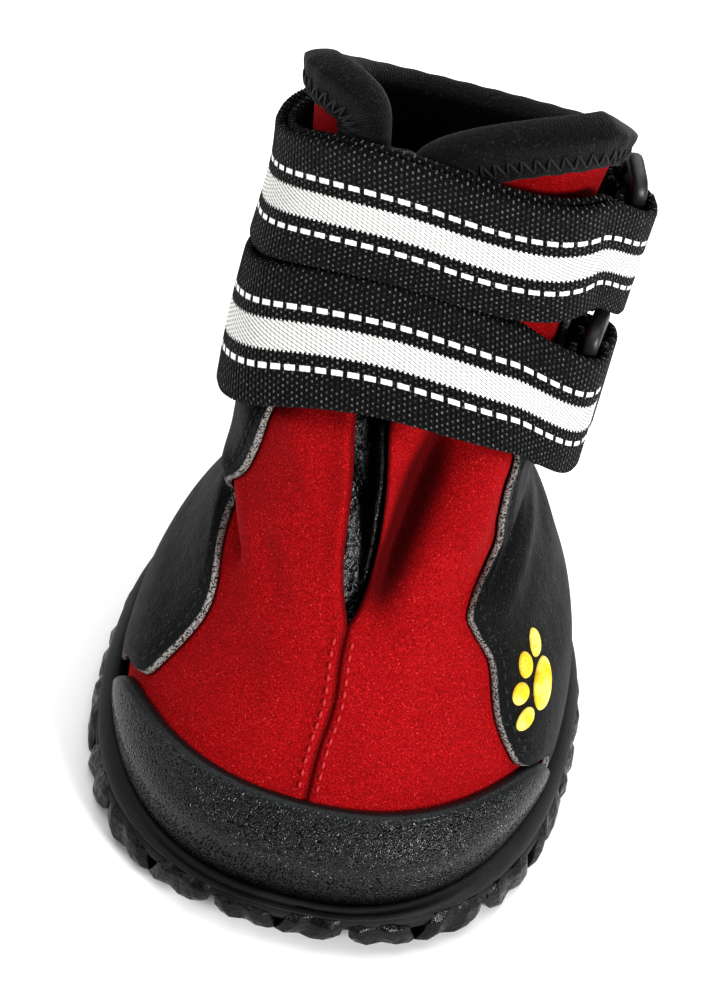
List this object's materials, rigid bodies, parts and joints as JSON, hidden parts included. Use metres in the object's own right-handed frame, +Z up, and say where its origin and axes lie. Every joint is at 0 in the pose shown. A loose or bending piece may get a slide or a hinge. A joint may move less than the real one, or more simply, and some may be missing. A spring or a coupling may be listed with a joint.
{
  "type": "dog boot",
  "caption": "Dog boot with a stretch upper, front throat, webbing straps doubled back through plastic loops, a rubber toe cap and a round lugged sole.",
  "frame": {"origin": "on the floor at the middle of the sole's length and width, on the flat foot of the tread's middle block", "axes": "-Y towards the toe, +X towards the wearer's left, +Z up from the floor"},
  "size_m": [0.0698, 0.0853, 0.1096],
  "materials": {
    "sole_rubber": "matte moulded rubber with glossier lugs",
    "cap_rubber": "pebbled, half glossy",
    "stretch_fabric": "fine napped stretch knit",
    "coated_fabric": "coated, lightly creased grain",
    "gusset_fabric": "coated, wrinkled, half glossy",
    "binding": "matte knitted edge tape with zigzag stitching",
    "footbed": "matte felt",
    "webbing": "ribbed webbing with a woven reflective stripe",
    "loop_plastic": "moulded, satin",
    "embroidery": "satin stitch"
  },
  "bodies": {
    "root": {"outsole": "sole_rubber", "insole": "footbed", "upper": "stretch_fabric", "tongue": "gusset_fabric", "toe_cap": "cap_rubber", "side_overlay": "coated_fabric", "collar_binding": "binding", "lower_strap": "webbing", "lower_loop": "loop_plastic", "lower_loop_tab": "webbing", "upper_strap": "webbing", "upper_loop": "loop_plastic", "upper_loop_tab": "webbing", "paw_pad": "embroidery", "paw_toe_1": "embroidery", "paw_toe_2": "embroidery", "paw_toe_3": "embroidery", "paw_toe_4": "embroidery"}
  },
  "joints": []
}
